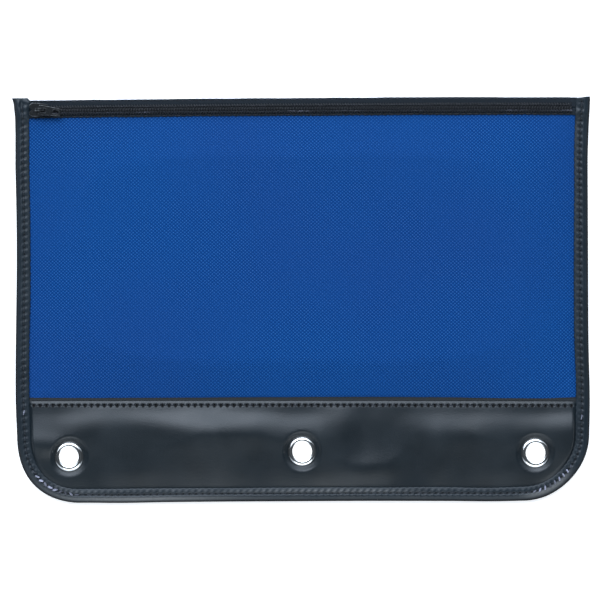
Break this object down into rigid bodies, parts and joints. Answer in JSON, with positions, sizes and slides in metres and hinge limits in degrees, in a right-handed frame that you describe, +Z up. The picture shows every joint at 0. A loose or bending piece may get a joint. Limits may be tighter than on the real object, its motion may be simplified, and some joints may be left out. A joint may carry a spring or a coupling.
{
  "type": "zippered cash deposit bag",
  "caption": "Flat zippered woven cash deposit bag with a black vinyl band, bound edges and metal eyelets at ring-binder pitch.",
  "frame": {"origin": "on the surface the bag lies on, under the middle of its bounding box", "axes": "+X along the zipper, from its closed end to its open end; +Y from the eyelet band towards the zipper; +Z up, out of the front face"},
  "size_m": [0.268, 0.187, 0.0084],
  "materials": {
    "blue_nylon": "coarse plain weave, slight sheen",
    "black_vinyl": "smooth coated vinyl, semi-gloss",
    "binding_vinyl": "fine-grained vinyl tape, satin",
    "zipper_tape": "woven tape, matte",
    "zipper_coil": "moulded filament, satin",
    "thread": "twisted polyester, slight sheen",
    "nickel": "bright plated",
    "slider_metal": "black enamel, gloss"
  },
  "bodies": {
    "bag": {"back_panel": "blue_nylon", "back_band": "black_vinyl", "front_band": "black_vinyl", "band_facing": "black_vinyl", "edge_binding": "binding_vinyl", "upper_tape": "zipper_tape", "upper_coil": "zipper_coil", "upper_tape_stitching": "thread", "band_stitching": "thread", "binding_stitching": "thread", "eyelet_left": "nickel", "eyelet_middle": "nickel", "eyelet_right": "nickel", "washer_left": "nickel", "washer_middle": "nickel", "washer_right": "nickel"},
    "front_wall": {"front_panel": "blue_nylon", "lower_tape": "zipper_tape", "lower_coil": "zipper_coil", "lower_tape_stitching": "thread"},
    "slider": {"slider_body": "slider_metal"},
    "pull": {"pull_tab": "slider_metal"}
  },
  "joints": [
    {"name": "zip_slide", "type": "slide", "parent": "bag", "child": "slider", "axis": [1, 0, 0], "range_m": [0, 0.242], "deforming": ["upper_coil", "lower_coil"]},
    {"name": "mouth_open", "type": "hinge", "parent": "bag", "child": "front_wall", "pos_m": [0, -0.0456, 0.00205], "axis": [1, 0, 0], "range_deg": [0, 10], "deforming": ["lower_tape", "lower_tape_stitching"]},
    {"name": "pull_hinge", "type": "hinge", "parent": "slider", "child": "pull", "pos_m": [-0.1206, 0.0882, 0.00655], "axis": [0, -1, 0], "range_deg": [0, 175]}
  ],
  "couplings": [
    {"joint": "mouth_open", "follows": "zip_slide", "rad_per_m": 0.72}
  ]
}
